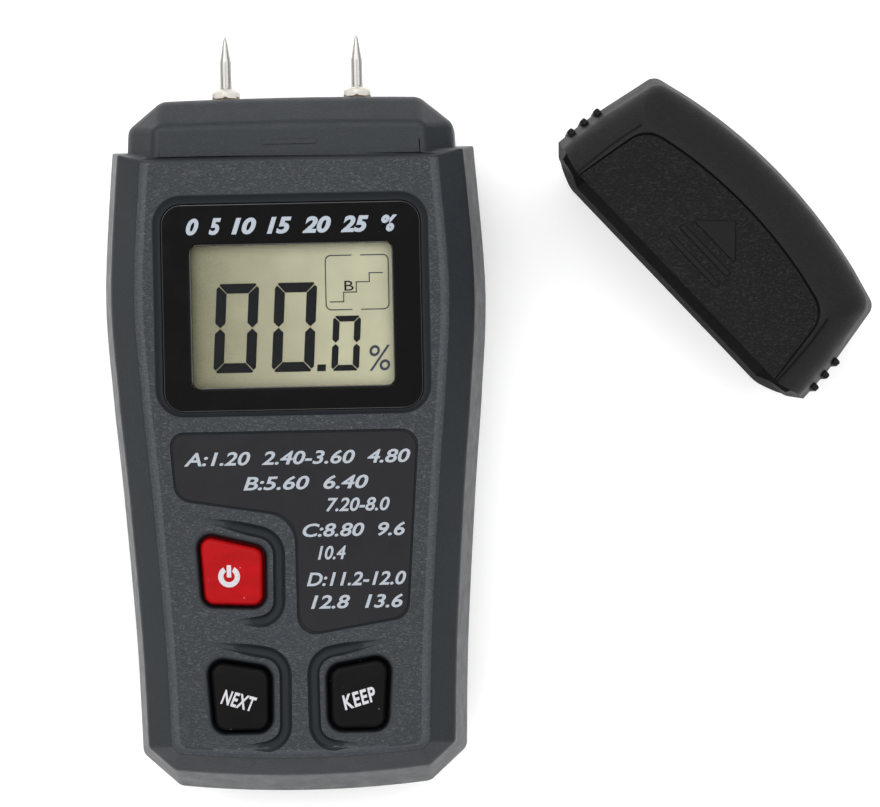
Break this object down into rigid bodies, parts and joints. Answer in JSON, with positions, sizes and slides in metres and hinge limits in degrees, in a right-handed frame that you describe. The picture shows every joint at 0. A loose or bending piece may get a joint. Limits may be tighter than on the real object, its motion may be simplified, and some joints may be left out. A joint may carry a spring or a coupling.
{
  "type": "moisture meter",
  "caption": "Hand-held pin-type wood moisture meter with a waisted case, small display, rubber keys and a pull-off pin cap lying beside it.",
  "frame": {"origin": "on the flat back of the case, on its centre line, halfway between the nose and the foot", "axes": "+X across the meter to the right of the display, +Y along the pins, +Z out of the display side"},
  "size_m": [0.1284, 0.1265, 0.0288],
  "materials": {
    "case_plastic": "fine matte texture on the faces, smooth satin bevels",
    "cap_plastic": "fine leather grain in the panel, satin elsewhere",
    "label_film": "matte printed film",
    "lens_acrylic": "polished, black printed border round a clear window",
    "lcd_glass": "reflective grey-green display",
    "black_plastic": "moulded",
    "zebra_rubber": "matte",
    "board_laminate": "green solder mask",
    "switch_steel": "pressed cover",
    "red_rubber": "silk matte",
    "black_rubber": "silk matte",
    "battery_steel": "printed sleeve",
    "red_insulation": "smooth",
    "black_insulation": "smooth",
    "pin_steel": "turned and ground",
    "nut_steel": "nickel plated",
    "brass": "machined",
    "screw_steel": "zinc plated"
  },
  "bodies": {
    "case": {"front_shell": "case_plastic", "back_shell": "case_plastic", "label_plate": "label_film", "lens_panel": "lens_acrylic", "lcd_cell": "lcd_glass", "lcd_holder": "black_plastic", "zebra_strip_upper": "zebra_rubber", "zebra_strip_lower": "zebra_rubber", "circuit_board": "board_laminate", "controller_chip": "black_plastic", "amplifier_chip": "black_plastic", "capacitor": "black_plastic", "power_switch": "switch_steel", "mode_switch": "switch_steel", "hold_switch": "switch_steel", "battery": "battery_steel", "battery_connector": "black_plastic", "battery_lead_red": "red_insulation", "battery_lead_black": "black_insulation", "probe_pin_left": "pin_steel", "probe_nut_left": "nut_steel", "probe_socket_left": "brass", "probe_lead_left": "black_insulation", "probe_pin_right": "pin_steel", "probe_nut_right": "nut_steel", "probe_socket_right": "brass", "probe_lead_right": "black_insulation", "case_screw_1": "screw_steel", "board_screw_1": "screw_steel", "case_screw_2": "screw_steel", "board_screw_2": "screw_steel", "case_screw_3": "screw_steel", "board_screw_3": "screw_steel", "case_screw_4": "screw_steel", "board_screw_4": "screw_steel"},
    "power_key": {"power_button": "red_rubber", "power_plunger": "black_plastic"},
    "mode_key": {"mode_button": "black_rubber", "mode_plunger": "black_plastic"},
    "hold_key": {"hold_button": "black_rubber", "hold_plunger": "black_plastic"},
    "door": {"battery_door": "case_plastic"},
    "cap": {"pin_cap": "cap_plastic"}
  },
  "joints": [
    {"name": "power_press", "type": "slide", "parent": "case", "child": "power_key", "axis": [0, 0, -1], "range_m": [0, 0.0005], "stiffness_N_per_m": 1500},
    {"name": "mode_press", "type": "slide", "parent": "case", "child": "mode_key", "axis": [0, 0, -1], "range_m": [0, 0.0005], "stiffness_N_per_m": 1500},
    {"name": "hold_press", "type": "slide", "parent": "case", "child": "hold_key", "axis": [0, 0, -1], "range_m": [0, 0.0005], "stiffness_N_per_m": 1500},
    {"name": "door_slide", "type": "slide", "parent": "case", "child": "door", "axis": [0, -1, 0], "range_m": [0, 0.055]},
    {"name": "cap_pull", "type": "slide", "parent": "case", "child": "cap", "axis": [0.7373, 0.6756, 0], "range_m": [0, 0.027]}
  ]
}
